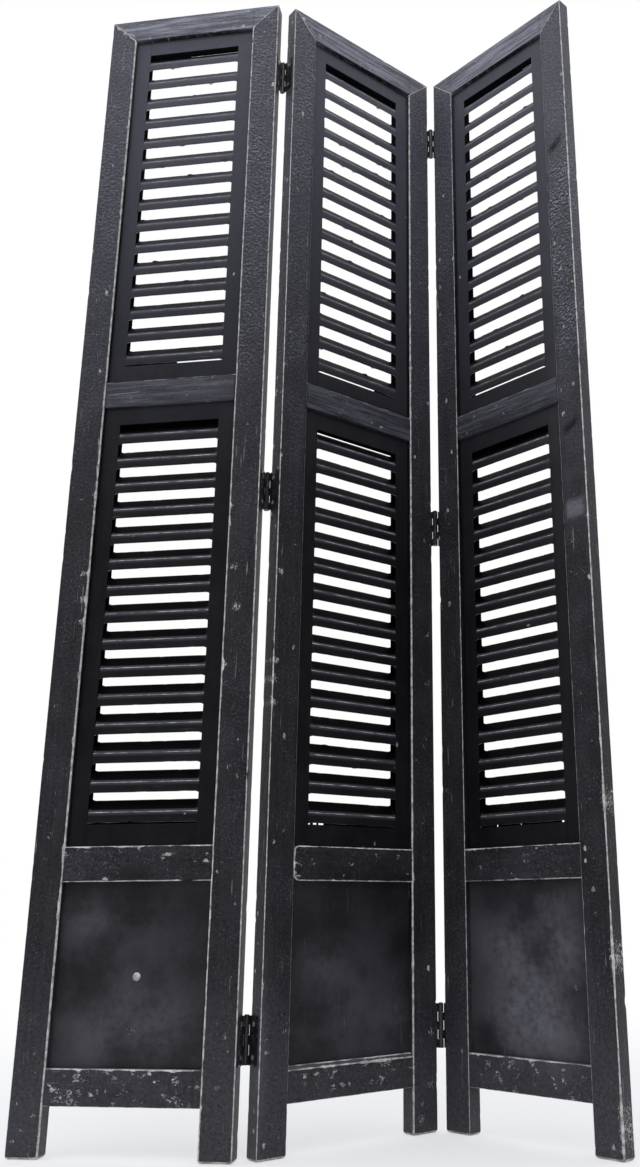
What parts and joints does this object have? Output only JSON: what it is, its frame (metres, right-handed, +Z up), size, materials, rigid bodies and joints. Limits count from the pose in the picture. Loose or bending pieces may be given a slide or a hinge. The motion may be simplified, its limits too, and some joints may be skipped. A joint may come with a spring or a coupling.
{
  "type": "louvred folding screen",
  "caption": "Folding room screen of hinged timber leaves, each with fixed louvres above a solid panel, standing in a zigzag to divide or shade a space.",
  "frame": {"origin": "on the floor, at the middle of the screen's box in plan", "axes": "+Z up along the leaves; -Y is the front, from which the picture looks; +X to its right"},
  "size_m": [0.7988, 0.226, 1.8],
  "materials": {
    "stiles": "worn black paint, pitted satin",
    "rails": "worn black paint, brushed grain",
    "panels": "smooth black paint",
    "inserts": "smooth black paint",
    "slats": "smooth black paint",
    "hinges": "black paint",
    "screws": "dark steel"
  },
  "bodies": {
    "left_leaf": {"left_leaf_left_stile": "stiles", "left_leaf_right_stile": "stiles", "left_leaf_top_rail": "rails", "left_leaf_mid_rail": "rails", "left_leaf_lower_rail": "rails", "left_leaf_bottom_rail": "rails", "left_leaf_solid_panel": "panels", "left_leaf_lower_jambs": "inserts", "left_leaf_lower_borders": "inserts", "left_leaf_lower_slats": "slats", "left_leaf_upper_jambs": "inserts", "left_leaf_upper_borders": "inserts", "left_leaf_upper_slats": "slats", "left_leaf_hinge_screws": "screws", "left_low_hinge_outer_plate": "hinges", "left_mid_hinge_outer_plate": "hinges", "left_top_hinge_outer_plate": "hinges"},
    "centre_leaf": {"centre_leaf_left_stile": "stiles", "centre_leaf_right_stile": "stiles", "centre_leaf_top_rail": "rails", "centre_leaf_mid_rail": "rails", "centre_leaf_lower_rail": "rails", "centre_leaf_bottom_rail": "rails", "centre_leaf_solid_panel": "panels", "centre_leaf_lower_jambs": "inserts", "centre_leaf_lower_borders": "inserts", "centre_leaf_lower_slats": "slats", "centre_leaf_upper_jambs": "inserts", "centre_leaf_upper_borders": "inserts", "centre_leaf_upper_slats": "slats", "centre_leaf_hinge_screws": "screws", "left_low_hinge_inner_plate": "hinges", "left_low_hinge_pin": "hinges", "left_mid_hinge_inner_plate": "hinges", "left_mid_hinge_pin": "hinges", "left_top_hinge_inner_plate": "hinges", "left_top_hinge_pin": "hinges", "right_low_hinge_inner_plate": "hinges", "right_low_hinge_pin": "hinges", "right_mid_hinge_inner_plate": "hinges", "right_mid_hinge_pin": "hinges", "right_top_hinge_inner_plate": "hinges", "right_top_hinge_pin": "hinges"},
    "right_leaf": {"right_leaf_left_stile": "stiles", "right_leaf_right_stile": "stiles", "right_leaf_top_rail": "rails", "right_leaf_mid_rail": "rails", "right_leaf_lower_rail": "rails", "right_leaf_bottom_rail": "rails", "right_leaf_solid_panel": "panels", "right_leaf_lower_jambs": "inserts", "right_leaf_lower_borders": "inserts", "right_leaf_lower_slats": "slats", "right_leaf_upper_jambs": "inserts", "right_leaf_upper_borders": "inserts", "right_leaf_upper_slats": "slats", "right_leaf_hinge_screws": "screws", "right_low_hinge_outer_plate": "hinges", "right_mid_hinge_outer_plate": "hinges", "right_top_hinge_outer_plate": "hinges"}
  },
  "joints": [
    {"name": "left_hinge", "type": "hinge", "parent": "centre_leaf", "child": "left_leaf", "pos_m": [-0.09464, -0.07876, 0.9], "axis": [0, 0, 1], "range_deg": [-132, 48]},
    {"name": "right_hinge", "type": "hinge", "parent": "centre_leaf", "child": "right_leaf", "pos_m": [0.16187, 0.09471, 0.9], "axis": [0, 0, 1], "range_deg": [-96, 84]}
  ]
}
